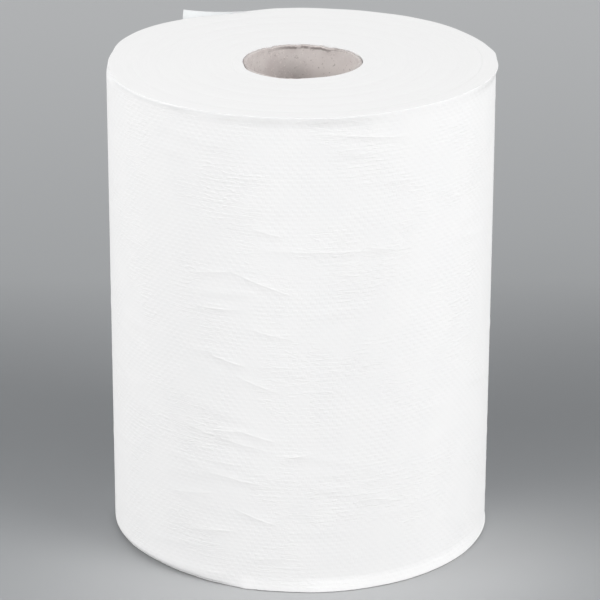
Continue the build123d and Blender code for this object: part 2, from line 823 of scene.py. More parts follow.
def fibre_group() -> bpy.types.NodeTree:
    """Builds the fibre texture that paper and card share.

    Returns:
        A shader group that gives a fine relief and a cloudy tone, both about 0.5 on average.
    """
    inputs = (
        TreeInput("Vector", "NodeSocketVector"),
        TreeInput("Fibre Size", default=0.0004),
        TreeInput("Fibre Stretch", default=4.0),
        TreeInput("Cloud Size", default=0.012),
    )
    outputs = (TreeInput("Relief"), TreeInput("Tone"))
    tree, sketch, given, result = new_group("fibre_texture", "ShaderNodeTree", inputs, outputs)
    x, y, z = sketch.split(given["Vector"])
    fine = sketch.math("DIVIDE", 1.0, given["Fibre Size"])
    upright = sketch.math("DIVIDE", z, given["Fibre Stretch"])
    relief = sketch.noise(sketch.vector(x, y, upright), fine, detail=3, roughness=0.6)
    clouds = sketch.noise(given["Vector"], sketch.math("DIVIDE", 1.0, given["Cloud Size"]), detail=3)
    tree.links.new(relief, result.inputs["Relief"])
    tree.links.new(clouds, result.inputs["Tone"])
    return tree


def fold_group() -> bpy.types.NodeTree:
    """Builds the sharp line of one fold, which is finer than the mesh can carry.

    Returns:
        A shader group that gives the line's relief, from 0 to 1.
    """
    inputs = (
        TreeInput("Vector", "NodeSocketVector"),
        TreeInput("Centre", "NodeSocketVector"),
        TreeInput("Length", default=0.02),
        TreeInput("Slope", default=0.0),
        TreeInput("Width", default=0.0005),
    )
    tree, sketch, given, result = new_group("fold_line", "ShaderNodeTree", inputs, (TreeInput("Relief"),))
    offset = sketch.vector_math("SUBTRACT", given["Vector"], given["Centre"])["Vector"]
    turn = {"Vector": offset, "Angle": sketch.math("MULTIPLY", given["Slope"], -1.0)}
    turned = sketch.add("ShaderNodeVectorRotate", turn, {"rotation_type": "Z_AXIS"}).outputs[0]
    lengthwise, across, _ = sketch.split(turned)
    reach = sketch.math("ABSOLUTE", sketch.math("DIVIDE", lengthwise, given["Length"]))
    fade = sketch.remap(reach, LINE_FADE, (1.0, 0.0))
    share = sketch.math("DIVIDE", across, given["Width"])
    line = sketch.math("EXPONENT", sketch.math("MULTIPLY", sketch.math("MULTIPLY", share, share), -1.0))
    tree.links.new(sketch.math("MULTIPLY", fade, line), result.inputs["Relief"])
    return tree


def new_finish(
    name: str, constants: Mapping[str, float]
) -> tuple[bpy.types.Material, NodeSketch, bpy.types.Node]:
    """Starts a material.

    Args:
        name: The material's name.
        constants: Values of the Principled BSDF that are the same all over.

    Returns:
        The material, a sketch on its tree and its Principled BSDF.
    """
    material = bpy.data.materials.new(name)
    material.use_nodes = True
    shader = material.node_tree.nodes["Principled BSDF"]
    for socket, value in constants.items():
        shader.inputs[socket].default_value = value
    return material, NodeSketch(material.node_tree), shader


@dataclass(frozen=True)
class EmbossedPaper:
    """The web's face: soft white paper with offset rows of short embossed dashes, and fine folds whose lines
    carry a painted highlight; painted shade greys the tail's inner face.
    """

    folds: Sequence[Crease]
    sizes: RollSizes
    light: Colour = (0.935, 0.935, 0.935, 1)
    shade: Colour = (0.925, 0.926, 0.927, 1)
    # painted highlight: the fold lines are coloured lighter than the paper
    fold_highlight: Colour = (0.97, 0.97, 0.97, 1)
    fold_highlight_levels: Span = (0.2, 1.0)
    # painted shade: the tail's inner face is coloured grey, darkest at its root
    tail_root_shade: Colour = (0.685, 0.7, 0.707, 1)
    tail_end_shade: Colour = (0.78, 0.8, 0.805, 1)
    dash_spacing: float = 3.55 * MM
    dash_ends: Span = (-0.5, 0.4)  # cosines along a row
    row_pitch: float = 1.75 * MM
    row_sides: Span = (0.35, 0.95)  # cosines across a row
    emboss_mm: float = 0.04
    patch_scale: float = 60.0
    patch_levels: Span = (0.3, 0.65)
    faintest_patch: float = 0.35
    wander: float = 1.1 * MM
    wander_scale: float = 45.0
    crepe_mm: float = 0.025
    fold_mm: float = 0.08
    fold_width: float = 0.42 * MM
    wrinkle_mm: float = 0.042
    wrinkle_length: float = 11 * MM
    wrinkle_pitch: float = 1.7 * MM
    wrinkle_level: float = 0.05
    zone_scale: float = 38.0
    zone_levels: Span = (0.42, 0.6)
    # how soon the painted shade on the tail's inner face sets in
    tail_shade_blend: float = 1 * MM

    def dashes(self, sketch: NodeSketch, along: Socket, height: Socket) -> Socket:
        """Lays out the embossed dashes, where each row is shifted by half a dash against the next.

        Args:
            sketch: Sketch on the material's tree.
            along: Distance along the web.
            height: Height across the web.

        Returns:
            The dashes' relief, from 0 to 1.
        """
        row = sketch.math("COSINE", sketch.math("MULTIPLY", height, math.pi / self.row_pitch))
        column = sketch.math("COSINE", sketch.math("MULTIPLY", along, FULL_TURN / self.dash_spacing))
        shifted = sketch.math("MULTIPLY", column, sketch.math("SIGN", row))
        length = sketch.remap(shifted, self.dash_ends)
        thickness = sketch.remap(sketch.math("ABSOLUTE", row), self.row_sides)
        return sketch.math("MULTIPLY", length, thickness)

    def wrinkles(self, sketch: NodeSketch, along: Socket, height: Socket) -> Socket:
        """Lays out many short, nearly level wrinkles.

        Args:
            sketch: Sketch on the material's tree.
            along: Distance along the web.
            height: Height across the web.

        Returns:
            The wrinkles' relief, from 0 to 1.
        """
        across = sketch.math("DIVIDE", height, self.wrinkle_pitch)
        place = sketch.vector(sketch.math("DIVIDE", along, self.wrinkle_length), across, 0.0)
        level = sketch.math("ABSOLUTE", sketch.math("SUBTRACT", sketch.noise(place, 1.0, detail=1), 0.5))
        return sketch.remap(level, (0.0, self.wrinkle_level), (1.0, 0.0))

    def fold_lines(self, sketch: NodeSketch, place: Socket) -> Socket:
        """Lays out the sharp lines of the folds that the photograph shows.

        Args:
            sketch: Sketch on the material's tree.
            place: Place on the flat web.

        Returns:
            The lines' relief, about 1 along a strong fold.
        """
        line_tree = fold_group()
        total = 0.0
        for fold in self.folds:
            inputs = {
                "Vector": place,
                "Centre": (fold.along(self.sizes), fold.height_mm * MM, 0),
                "Length": fold.length_mm * MM,
                "Slope": math.radians(fold.slope),
                "Width": self.fold_width,
            }
            line = sketch.group(line_tree, inputs)["Relief"]
            total = sketch.math("MULTIPLY_ADD", line, fold.rise_mm / STRONG_RISE_MM, total)
        return total

    def build(self, fibres: bpy.types.NodeTree) -> bpy.types.Material:
        """Builds the material.

        Args:
            fibres: The shared fibre texture.

        Returns:
            The finished material.
        """
        constants = {"Roughness": 0.92, "Specular IOR Level": 0.25, "Sheen Weight": 0.08}
        material, sketch, shader = new_finish("towel_paper_web", constants)
        place = sketch.web_place()
        along, height, _ = sketch.split(place)
        drift = sketch.math("SUBTRACT", sketch.noise(place, self.wander_scale), 0.5)
        bent = sketch.math("MULTIPLY_ADD", drift, self.wander, height)
        cloud = sketch.noise(place, self.patch_scale)
        patches = sketch.remap(cloud, self.patch_levels, (self.faintest_patch, 1.0))
        emboss = sketch.math("MULTIPLY", self.dashes(sketch, along, bent), patches)
        folds = self.fold_lines(sketch, sketch.vector(along, bent, 0.0))
        relief = sketch.math("MULTIPLY", folds, self.fold_mm)
        relief = sketch.math("MULTIPLY_ADD", emboss, self.emboss_mm, relief)
        zones = sketch.remap(sketch.noise(place, self.zone_scale, detail=1), self.zone_levels)
        creped = sketch.math("MULTIPLY", self.wrinkles(sketch, along, bent), zones)
        relief = sketch.math("MULTIPLY_ADD", creped, self.wrinkle_mm, relief)

        texture = sketch.group(fibres, {"Vector": sketch.object_place()})
        relief = sketch.math("MULTIPLY_ADD", texture["Relief"], self.crepe_mm, relief)
        tone = sketch.remap(texture["Tone"], NOISE_SPREAD)
        paper = sketch.mix(tone, self.shade, self.light)
        # painted highlight along the fold lines
        colour = sketch.mix(sketch.remap(folds, self.fold_highlight_levels), paper, self.fold_highlight)

        # painted shade on the tail's inner face, darker towards its root
        inside_tail = sketch.math("SUBTRACT", 0.0, along)
        out = sketch.remap(inside_tail, (0.0, self.sizes.tail_length))
        shaded = sketch.mix(out, self.tail_root_shade, self.tail_end_shade)
        is_inside = sketch.remap(inside_tail, (0.0, self.tail_shade_blend))
        sketch.dress(shader, sketch.mix(is_inside, colour, shaded), relief)
        return material


@dataclass(frozen=True)
class PaperEdge:
    """The end faces: the cut edges of several hundred turns, in faint rings."""

    light: Colour = (0.874, 0.874, 0.874, 1)
    shade: Colour = (0.856, 0.856, 0.856, 1)
    ring_size: float = 0.9 * MM
    ring_mm: float = 0.025
    ring_levels: Span = (0.25, 0.6)
    fluff_mm: float = 0.015
    arc_share: float = 3.0

    def build(self, fibres: bpy.types.NodeTree) -> bpy.types.Material:
        """Builds the material.

        Args:
            fibres: The shared fibre texture.

        Returns:
            The finished material.
        """
        constants = {"Roughness": 0.95, "Specular IOR Level": 0.2, "Sheen Weight": 0.05}
        material, sketch, shader = new_finish("towel_paper_edge", constants)
        place = sketch.object_place()
        x, y, _ = sketch.split(place)
        outwards = sketch.vector(x, y, 0.0)
        radius = sketch.vector_math("LENGTH", outwards)["Value"]
        facing_x, facing_y, _ = sketch.split(sketch.vector_math("NORMALIZE", outwards)["Vector"])
        ring_place = sketch.vector(
            sketch.math("DIVIDE", radius, self.ring_size),
            sketch.math("MULTIPLY", facing_x, self.arc_share),
            sketch.math("MULTIPLY", facing_y, self.arc_share),
        )
        rings = sketch.noise(ring_place, 1.0, detail=4, roughness=0.7)

        texture = sketch.group(fibres, {"Vector": place, "Fibre Stretch": 1.0})
        fluff = sketch.math("MULTIPLY", texture["Relief"], self.fluff_mm)
        relief = sketch.math("MULTIPLY_ADD", rings, self.ring_mm, fluff)
        tone = sketch.remap(rings, self.ring_levels)
        sketch.dress(shader, sketch.mix(tone, self.shade, self.light), relief)
        return material


@dataclass(frozen=True)
class CoreCard:
    """Recycled card: mottled pinkish grey, with flecks and a spiral joint between its plies; painted light on
    the bore's +X side, painted shade deep left of the middle, and a painted shadow line under the torn upper
    end.
    """

    sizes: RollSizes
    light: Colour = (0.625, 0.583, 0.564, 1)
    shade: Colour = (0.55, 0.5, 0.487, 1)
    tone_levels: Span = (0.3, 0.7)
    # painted light: the bore's +X side is coloured paler, more so with depth
    painted_light: Colour = (0.83, 0.775, 0.75, 1)
    least_painted_light: float = 0.15
    # painted shade: the card is darkened deep in the bore, left of the middle
    painted_shade_share: float = 0.17
    joint: Colour = (0.42, 0.375, 0.36, 1)
    dark_fleck: Colour = (0.38, 0.34, 0.325, 1)
    dark_levels: Span = (0.62, 0.72)
    pale_fleck: Colour = (0.78, 0.72, 0.685, 1)
    pale_levels: Span = (0.6, 0.72)
    pale_density: float = 1.37  # against the dark ones
    # painted shadow line under the torn upper end of the card
    gap_shadow: Colour = (0.27, 0.242, 0.232, 1)
    gap_below_end: float = 0.72 * MM
    gap_least_below: float = 0.144 * MM
    gap_half_width: float = 0.22 * MM
    gap_soft_width: float = 0.55 * MM
    gap_break_scale: float = 260.0
    gap_break_levels: Span = (0.36, 0.54)
    faintest_gap_shadow: float = 0.3
    fleck_size: float = 0.95 * MM
    fleck_share: float = 0.6
    ply_width: float = 88 * MM
    joint_width: float = 0.7 * MM
    joint_share: float = 0.6
    joint_mm: float = 0.12
    relief_mm: float = 0.07

    # Soft limits of the side with painted light, the painted shade and the painted shadow line, in radii of
    # the card
    painted_light_across: Span = (-0.15, 0.35)
    painted_light_down: Span = (0, 0.4)
    painted_shade_left: float = 0.2
    painted_shade_aside: Span = (0.1, 0.5)
    painted_shade_down: Span = (0.1, 0.6)
    gap_rise_across: Span = (0.4, 0.65)
    gap_across: Span = (-0.55, -0.15)
    gap_back: Span = (0.35, 0.95)

    def in_metres(self, limits: Span) -> Span:
        """Limits in metres that are given in radii of the card."""
        return limits[0] * self.sizes.card_radius, limits[1] * self.sizes.card_radius

    def torn_gap_shadow(self, sketch: NodeSketch, height: Socket, place: Socket) -> Socket:
        """Lays out the painted shadow line just under the upper end, where the torn plies part, mostly at the
        back.

        Args:
            sketch: Sketch on the material's tree.
            height: Height on the even tube, before its end was torn.
            place: Object coordinates.

        Returns:
            The painted shadow's share of each place.
        """
        across, depth, _ = sketch.split(place)
        depths = (self.gap_below_end, self.gap_least_below)
        below = sketch.remap(across, self.in_metres(self.gap_rise_across), depths)
        gap_height = sketch.math("SUBTRACT", self.sizes.card_high, below)
        aside = sketch.math("ABSOLUTE", sketch.math("SUBTRACT", height, gap_height))
        line = sketch.remap(aside, (self.gap_half_width, self.gap_soft_width), (1.0, 0.0))
        back = sketch.remap(depth, self.in_metres(self.gap_back))
        middle = sketch.remap(across, self.in_metres(self.gap_across), (self.faintest_gap_shadow, 1.0))
        cloud = sketch.noise(place, self.gap_break_scale, detail=3)
        broken = sketch.remap(cloud, self.gap_break_levels, (self.faintest_gap_shadow, 1.0))
        visible = sketch.math("MULTIPLY", middle, sketch.math("MULTIPLY", back, broken))
        return sketch.math("MULTIPLY", line, visible)

    def flecks(self, sketch: NodeSketch, place: Socket, colour: Socket) -> Socket:
        """Lays dark and pale flecks of reclaimed fibre over a colour.

        Args:
            sketch: Sketch on the material's tree.
            place: Object coordinates.
            colour: The colour under the flecks.

        Returns:
            The colour with its flecks.
        """
        for scale, limits, fleck in (
            (1 / self.fleck_size, self.dark_levels, self.dark_fleck),
            (self.pale_density / self.fleck_size, self.pale_levels, self.pale_fleck),
        ):
            spots = sketch.noise(place, scale, detail=1.5, roughness=0.55)
            colour = sketch.mix(sketch.remap(spots, limits, (0.0, self.fleck_share)), colour, fleck)
        return colour

    def build(self, fibres: bpy.types.NodeTree) -> bpy.types.Material:
        """Builds the material.

        Args:
            fibres: The shared fibre texture.

        Returns:
            The finished material.
        """
        constants = {"Roughness": 0.88, "Specular IOR Level": 0.3}
        material, sketch, shader = new_finish("core_card", constants)
        place = sketch.object_place()
        x, y, z = sketch.split(place)
        inputs = {"Vector": place, "Fibre Size": 0.0007, "Fibre Stretch": 0.5, "Cloud Size": 0.007}
        texture = sketch.group(fibres, inputs)
        tone = sketch.remap(texture["Tone"], self.tone_levels)
        # painted light on the bore's +X side, paler with depth
        right = sketch.remap(x, self.in_metres(self.painted_light_across))
        depth = sketch.math("SUBTRACT", self.sizes.card_high, z)
        down = sketch.remap(depth, self.in_metres(self.painted_light_down), (self.least_painted_light, 1.0))
        painted_light_share = sketch.math("MULTIPLY", right, down)
        plain = sketch.mix(painted_light_share, sketch.mix(tone, self.shade, self.light), self.painted_light)
        # painted shade deep in the bore, left of the middle, darker with depth
        from_painted_shade = sketch.math("ABSOLUTE", sketch.math("ADD", x, self.painted_shade_left * self.sizes.card_radius))
        painted_shade = sketch.remap(from_painted_shade, self.in_metres(self.painted_shade_aside), (self.painted_shade_share, 0.0))
        painted_shade = sketch.math("MULTIPLY", painted_shade, sketch.remap(depth, self.in_metres(self.painted_shade_down)))
        card = self.flecks(sketch, place, sketch.mix(painted_shade, plain, BLACK))

        turn = sketch.math("DIVIDE", sketch.math("ARCTAN2", y, x), FULL_TURN)
        climb = sketch.math("ADD", sketch.math("DIVIDE", z, self.ply_width), turn)
        offset = sketch.math("PINGPONG", climb, 0.5)
        half_joint = self.joint_width / self.ply_width / 2
        joint = sketch.remap(offset, (half_joint, half_joint * 2), (1.0, 0.0))
        colour = sketch.mix(sketch.math("MULTIPLY", joint, self.joint_share), card, self.joint)
        even_height = sketch.split(sketch.web_place())[1]
        # painted shadow line just under the torn upper end
        colour = sketch.mix(self.torn_gap_shadow(sketch, even_height, place), colour, self.gap_shadow)
        fibre_relief = sketch.math("MULTIPLY", texture["Relief"], self.relief_mm)
        relief = sketch.math("MULTIPLY_ADD", joint, -self.joint_mm, fibre_relief)
        sketch.dress(shader, colour, relief)
        return material


@dataclass(frozen=True)
class CardFuzz:
    """Loose fibres torn from the card's cut end, in the card's lighter and darker tones."""

    light: Colour = (0.6, 0.555, 0.53, 1)
    shade: Colour = (0.4, 0.36, 0.34, 1)
    tone_scale: float = 900.0

    def build(self) -> bpy.types.Material:
        """Builds the material.

        Returns:
            The finished material.
        """
        constants = {"Roughness": 0.95, "Specular IOR Level": 0.2}
        material, sketch, shader = new_finish("core_card_fuzz", constants)
        cloud = sketch.noise(sketch.object_place(), self.tone_scale)
        tone = sketch.remap(cloud, NOISE_SPREAD)
        sketch.dress(shader, sketch.mix(tone, self.shade, self.light))
        return material


@dataclass(frozen=True)
class FloorPaint:
    """The pale grey studio floor, whose tone dips softly beside the roll and lifts to the front and back,
    with a painted pool of light round the roll's front.
    """

    tones: Sequence[tuple[float, float]] = (  # how far back, and the grey there
        (-0.15, 0.388),
        (0.0, 0.288),
        (0.12, 0.211),
        (0.3, 0.343),
        (0.85, 0.512),
    )
    front: float = -0.2
    back: float = 1.0
    dip_depth: float = 0.15
    dip_reach: float = 0.25
    dip_half_width: float = 0.12
    darker_right: float = 0.1
    coolness: float = 0.019
    bounce: Colour = (0.19, 0.191, 0.193, 1)
    # painted pool of light: the floor is coloured paler round the roll's front
    glow: Colour = (0.8, 0.803, 0.806, 1)
    glow_inner: float = 0.0795
    glow_outer: float = 0.17
    glow_share: float = 0.365
    glow_azimuth: float = math.radians(-79)
    glow_fade: Span = (-0.3, 1.0)  # cosines of the angle off its azimuth

    def build(self) -> bpy.types.Material:
        """Builds the material.

        Returns:
            The finished material.
        """
        constants = {"Roughness": 0.95, "Specular IOR Level": 0.1}
        material, sketch, shader = new_finish("studio_floor", constants)
        place = sketch.object_place()
        x, y, _ = sketch.split(place)
        radius = sketch.vector_math("LENGTH", place)["Value"]
        outwards = sketch.vector_math("NORMALIZE", place)["Vector"]
        # painted pool of light round the roll's front, fading outwards and towards the back
        glow_axis = (math.cos(self.glow_azimuth), math.sin(self.glow_azimuth), 0)
        facing = sketch.vector_math("DOT_PRODUCT", outwards, glow_axis)["Value"]
        near = sketch.remap(radius, (self.glow_inner, self.glow_outer), (self.glow_share, 0.0))
        glow = sketch.math("MULTIPLY", near, sketch.remap(facing, self.glow_fade))
        ends = {"Value": y, "From Min": self.front, "From Max": self.back}
        share = sketch.add("ShaderNodeMapRange", ends).outputs[0]
        scale = sketch.add("ShaderNodeValToRGB", {"Fac": share})
        scale.color_ramp.interpolation = "B_SPLINE"
        marks = scale.color_ramp.elements
        while len(marks) < len(self.tones):
            marks.new(1)
        for mark, (depth, grey) in zip(marks, self.tones):
            mark.position = (depth - self.front) / (self.back - self.front)
            mark.color = (grey, grey + self.coolness / 2, grey + self.coolness, 1)
        from_dip = sketch.math("ABSOLUTE", sketch.math("SUBTRACT", y, self.dip_depth))
        in_dip = sketch.remap(from_dip, (0.0, self.dip_reach), (self.darker_right, 0.0))
        sideways = sketch.remap(x, (-self.dip_half_width, self.dip_half_width))
        right = sketch.math("MULTIPLY", in_dip, sideways)
        dipped = sketch.mix(right, scale.outputs[0], BLACK)
        seen = sketch.mix(glow, dipped, self.glow)
        sketch.dress(shader, sketch.mix(sketch.seen_directly(), self.bounce, seen))
        return material


@dataclass(frozen=True)
class Finishes:
    """The built materials of the object's own surfaces."""

    web: bpy.types.Material
    edge: bpy.types.Material
    card: bpy.types.Material
    fuzz: bpy.types.Material

    @classmethod
    def build(cls, sizes: RollSizes) -> "Finishes":
        """Builds every finish once.

        Args:
            sizes: The roll's sizes.

        Returns:
            The finishes.
        """
        fibres = fibre_group()
        return cls(
            web=EmbossedPaper(FRONT_CREASES, sizes).build(fibres),
            edge=PaperEdge().build(fibres),
            card=CoreCard(sizes).build(fibres),
            fuzz=CardFuzz().build(),
        )


# Pieces


@dataclass(frozen=True)
class EdgeRow:
    """A line of corners round an end face, at one radius or along one turn of the spiral."""

    start: float  # radius where the row opens
    end: float  # radius where it closes
    opens: int  # the row whose first corner it opens with
    meets: int  # the row whose first corner it closes with
    groove: bool = False  # whether a turn line is cut along it


@dataclass
class WoundPaper:
    """The whole web: its last turn with folds and free tail, both end faces and the hole for the core."""

    sizes: RollSizes
    columns: int = 300
    tail_columns: int = 20
    wall_step: float = 1.09 * MM
    edge_steps_mm: Sequence[float] = (0, 0.3, 0.6, 1.0, 1.5, 2.1, 2.8, 3.6, 4.5, 5.4)
    line_count: int = 5
    rows_in_line: int = 6
    line_margin: float = 2 * MM
    line_half_width: float = 0.3 * MM
    line_depth: float = 0.05 * MM
    rim_radius: float = 0.22 * MM
    foot_radii: Sequence[tuple[float, float]] = (  # azimuth in degrees, radius in mm
        (150, 1.5),
        (188, 3.4),
        (203, 4.2),
        (219, 4.1),
        (232, 3.4),
        (243, 1.95),
        (252, 0.6),
        (322, 0.7),
        (342, 2.0),
        (400, 1.5),
    )
    taper: float = 0.3 * MM
    corner_fade: float = 8 * MM
    scattered_count: int = 110

    # The upper corner and the upper end face
    rim_reach: float = 4 * MM
    rim_unevenness: float = 0.13 * MM
    tail_droop: float = 0.47 * MM
    droop_length: float = 14 * MM
    dip_under_tail: float = 0.7 * MM
    dip_span: Span = (10 * MM, 30 * MM)
    end_swell: float = 0.1 * MM
    end_swell_width: float = 55 * MM
    dish: Swell = Swell(0.35 * MM, (190, 212, 262, 285))

    # Lean of the wall's sides, in millimetres
    right_side: Swell = Swell(1.0, (294, 332, 385, 425))
    right_out_mm: float = 0.2
    right_in_mm: float = 1.3
    lean_power: float = 1.6
    left_side: Swell = Swell(0.42, (118, 160, 205, 250))
    loose_foot: Swell = Swell(1.6, (126, 140, 146, 172))
    loose_share: float = 0.4

    # Flare and rolled bead of the rim, in millimetres
    flare_mm: float = 0.12
    flares: Sequence[Swell] = (
        Swell(0.36, (230, 256, 284, 302)),
        Swell(0.75, (315, 345, 400, 430)),
        Swell(-0.65, (375, 383, 392, 400)),
        Swell(-0.85, (158, 174, 190, 206)),
    )
    flare_reach_mm: float = 5
    flare_power: float = 1.3
    flare_unevenness: float = 0.35
    bead: Swell = Swell(0.22, (198, 206, 230, 240))
    bead_mm: float = 0.7

    # Skirt at the foot's front, and the pressed corner at its left
    skirt: Swell = Swell(1.0, (250.5, 253.5, 320, 360))
    skirt_top_mm: float = 5.4
    skirt_slope: float = 0.17
    skirt_slopes: Sequence[Swell] = (
        Swell(-0.08, (250, 256, 263, 276)),
        Swell(0.05, (268, 276, 284, 294)),
    )
    pressed: Swell = Swell(1.0, (205, 216, 242, 252))
    belly_mm: float = 0.16
    belly_height_mm: float = 4.5
    belly_half_mm: float = 2
    tuck_mm: float = 0.3
    tuck_height_mm: float = 3
    tuck_power: float = 1.5

    # Waves and lip of the free tail
    slow_wave_mm: float = 0.9
    slow_wave_length: float = 0.8  # web widths
    slow_wave_phase: float = 0.6
    quick_wave_mm: float = 0.18
    quick_wave_length: float = 34 * MM
    quick_wave_slant: float = 0.35
    lip_mm: float = 0.8
    lip_width: float = 3.5 * MM

    def wall_heights(self) -> Array:
        """Places the rows of corners on the wall, closer together near the foot and the rim.

        Returns:
            The rows' heights.
        """
        near_edge = np.array(self.edge_steps_mm) * MM
        middle = self.sizes.web_width - 2 * near_edge[-1]
        steps = round(middle / self.wall_step)
        inner = near_edge[-1] + np.arange(1, steps) * middle / steps
        return np.concatenate([near_edge, inner, self.sizes.web_width - near_edge[::-1]])

    def edge_rows(self) -> list[EdgeRow]:
        """Lays out the rows of an end face. The turn lines run along some of them.

        The spiral's rows fan out from one corner near the core and run together again near the wall.

        Returns:
            The rows, from the hole outwards.
        """
        sizes = self.sizes
        inner = sizes.paper_bore + self.line_margin
        outer = sizes.roll_radius - self.line_margin
        last_circle = sizes.roll_radius - sizes.sheet
        pitch = (outer - inner) / self.line_count
        edge = self.line_half_width / pitch
        shares = [0.0, edge, *np.linspace(edge, 1 - edge, self.rows_in_line - 1)[1:]]
        circles = [sizes.paper_bore, sizes.paper_bore + self.line_margin / 2]
        rows = [EdgeRow(radius, radius, number, number) for number, radius in enumerate(circles)]

        first = len(rows)
        fan = self.rows_in_line
        total = fan * (self.line_count + 1) + 1
        for number in range(total):
            turn, step = divmod(number, fan)
            radius = inner + (turn - 1 + shares[step]) * pitch
            rows.append(
                EdgeRow(
                    start=max(radius, inner),
                    end=min(radius + pitch, outer),
                    opens=first + max(number, fan),
                    meets=first + min(number + fan, total - 1),
                    groove=step == 0 and 0 < turn <= self.line_count,
                )
            )
        for radius in np.linspace(outer, last_circle, 4)[1:-1]:
            rows.append(EdgeRow(radius, radius, len(rows), len(rows)))
        corner = len(rows) + 1
        rows.append(EdgeRow(last_circle, last_circle, corner, corner))
        return rows

    def foot_softness(self, azimuth: Array) -> Array:
        """Radius of the lower corner, which is tucked in further at the left and sharp at the front.

        Args:
            azimuth: Degrees counter-clockwise from +X.

        Returns:
            The radius at each place.
        """
        return MM * through_points(azimuth, self.foot_radii)

    def rim_lift(self, along: Array) -> Array:
        """Unevenness of the upper corner, up and down, with the droop of its loose end.

        Args:
            along: Distance along the web from the start of the last turn.

        Returns:
            The lift of the upper corner.
        """
        length = self.sizes.turn_length
        dip_full, dip_end = self.dip_span
        uneven = self.rim_unevenness * soft_waves(along, length, count=24, seed=5)
        under_tail = self.dip_under_tail * smooth_step(dip_end, dip_full, along)
        droop = self.tail_droop * smooth_step(length - self.droop_length, length, along)
        return uneven - under_tail - droop

    def side_lean(self, azimuth: Array, height: Array) -> Array:
        """How far the sides of the wall depart from an even cylinder: the right one leans in downwards.

        Args:
            azimuth: Degrees counter-clockwise from +X, once round from the tail's azimuth.
            height: Height across the web.

        Returns:
            The distance outwards.
        """
        below = np.clip(1 - height / self.sizes.web_width, 0, 1)
        lean = self.right_out_mm - self.right_in_mm * below**self.lean_power
        right = lean * self.right_side.at(azimuth)
        loose = self.loose_foot.at(azimuth) * smooth_step(1, 0, below / self.loose_share)
        return MM * (right + self.left_side.at(azimuth) + loose)

    def edge_relief(self, along: Array, height: Array) -> Array:
        """How far the web's borders stand off the wall.

        Args:
            along: Distance along the web from the start of the last turn.
            height: Height across the web.

        Returns:
            The lift of the flared rim and its rolled bead, and of the foot's skirt and pressed corner.
        """
        azimuth = self.sizes.azimuth_degrees(along)
        below_rim = (self.sizes.web_width - height) / MM
        uneven = 1 + self.flare_unevenness * soft_waves(along, self.sizes.turn_length, count=30, seed=8)
        near_rim = smooth_step(self.flare_reach_mm, 0, below_rim) ** self.flare_power
        flare = (swell_sum(azimuth, self.flares) + self.flare_mm) * uneven * near_rim
        bead = self.bead.at(azimuth) * np.exp(-(((below_rim - self.bead_mm) / self.bead_mm) ** 2))
        up = height / MM
        slope = self.skirt_slope + swell_sum(azimuth, self.skirt_slopes)
        skirt = slope * np.maximum(self.skirt_top_mm - up, 0) * self.skirt.at(azimuth)
        belly = self.belly_mm * np.exp(-(((up - self.belly_height_mm) / self.belly_half_mm) ** 2))
        tuck = self.tuck_mm * np.clip(1 - up / self.tuck_height_mm, 0, 1) ** self.tuck_power
        return MM * (flare + bead + skirt + (belly - tuck) * self.pressed.at(azimuth))

    def wall_relief(self, along: Array, height: Array) -> Array:
        """How far the last turn stands off an even wall, all folds included.

        Args:
            along: Distance along the web from the start of the last turn.
            height: Height across the web.

        Returns:
            The lift off the wall.
        """
        relief = self.taper * height / self.sizes.web_width + self.edge_relief(along, height)
        relief = relief + self.side_lean(self.sizes.azimuth_degrees(along), height)
        scattered = scattered_creases(self.scattered_count, self.sizes.web_width, seed=21)
        for fold in (*FRONT_CREASES, *scattered):
            relief = relief + fold.rise_at(along, height, self.sizes)
        return relief

    def tail_relief(self, past: Array, height: Array) -> Array:
        """Waves of the free tail and the outward curl of its upper border.

        Args:
            past: Distance from the tail's root.
            height: Height across the web.

        Returns:
            The lift away from the roll.
        """
        share = past / self.sizes.tail_length
        width = self.sizes.web_width
        slow = np.sin(FULL_TURN * height / (self.slow_wave_length * width) + self.slow_wave_phase)
        quick = np.sin(FULL_TURN * (height / self.quick_wave_length + self.quick_wave_slant * share))
        wave = (self.slow_wave_mm * slow + self.quick_wave_mm * quick) * share**2
        lip = self.lip_mm * np.sqrt(share) * smooth_step(width - self.lip_width, width, height)
        return MM * (wave + lip)

    def add_wall(self, net: FlatNet) -> Array:
        """Adds the last turn and both faces of the free tail.

        Args:
            net: The flat net.

        Returns:
            Numbers of the wall's corners: a row for each height, and columns from the start of the turn
            along the wall, out along the tail and back along its inner face.
        """
        sizes = self.sizes
        turn = np.linspace(0, sizes.turn_length, self.columns + 1)
        steps = np.arange(1, self.tail_columns + 1) * sizes.tail_length / self.tail_columns
        along = np.concatenate([turn, sizes.turn_length + steps, sizes.turn_length + steps[::-1]])
        is_back = np.arange(len(along)) > self.columns + self.tail_columns
        past = np.maximum(along - sizes.turn_length, 0)
        pattern = np.where(is_back, -past, along)
        fade = smooth_step(self.corner_fade, 0, past)
        on_wall = np.minimum(along, sizes.turn_length)

        height = self.wall_heights()[:, None]
        foot = soft_corner(height, self.foot_softness(sizes.azimuth_degrees(on_wall)) * fade)
        rim = soft_corner(sizes.web_width - height, self.rim_radius * fade)
        lower = height < sizes.web_width / 2
        inset = np.where(lower, foot[0], rim[0])
        level = np.where(lower, foot[1], sizes.web_width - rim[1])
        near_rim = smooth_step(sizes.web_width - self.rim_reach, sizes.web_width, height)
        level = level + self.rim_lift(on_wall) * near_rim
        rise = fade * self.wall_relief(on_wall, height) + (1 - fade) * self.taper * height / sizes.web_width
        rise = rise + self.tail_relief(past, height) - inset - np.where(is_back, sizes.sheet, 0)
        grid = net.corners(along, level, rise, (pattern, level))
        net.skin(np.hstack([grid, grid[:, :1]]), PaperFace.WEB)
        return grid

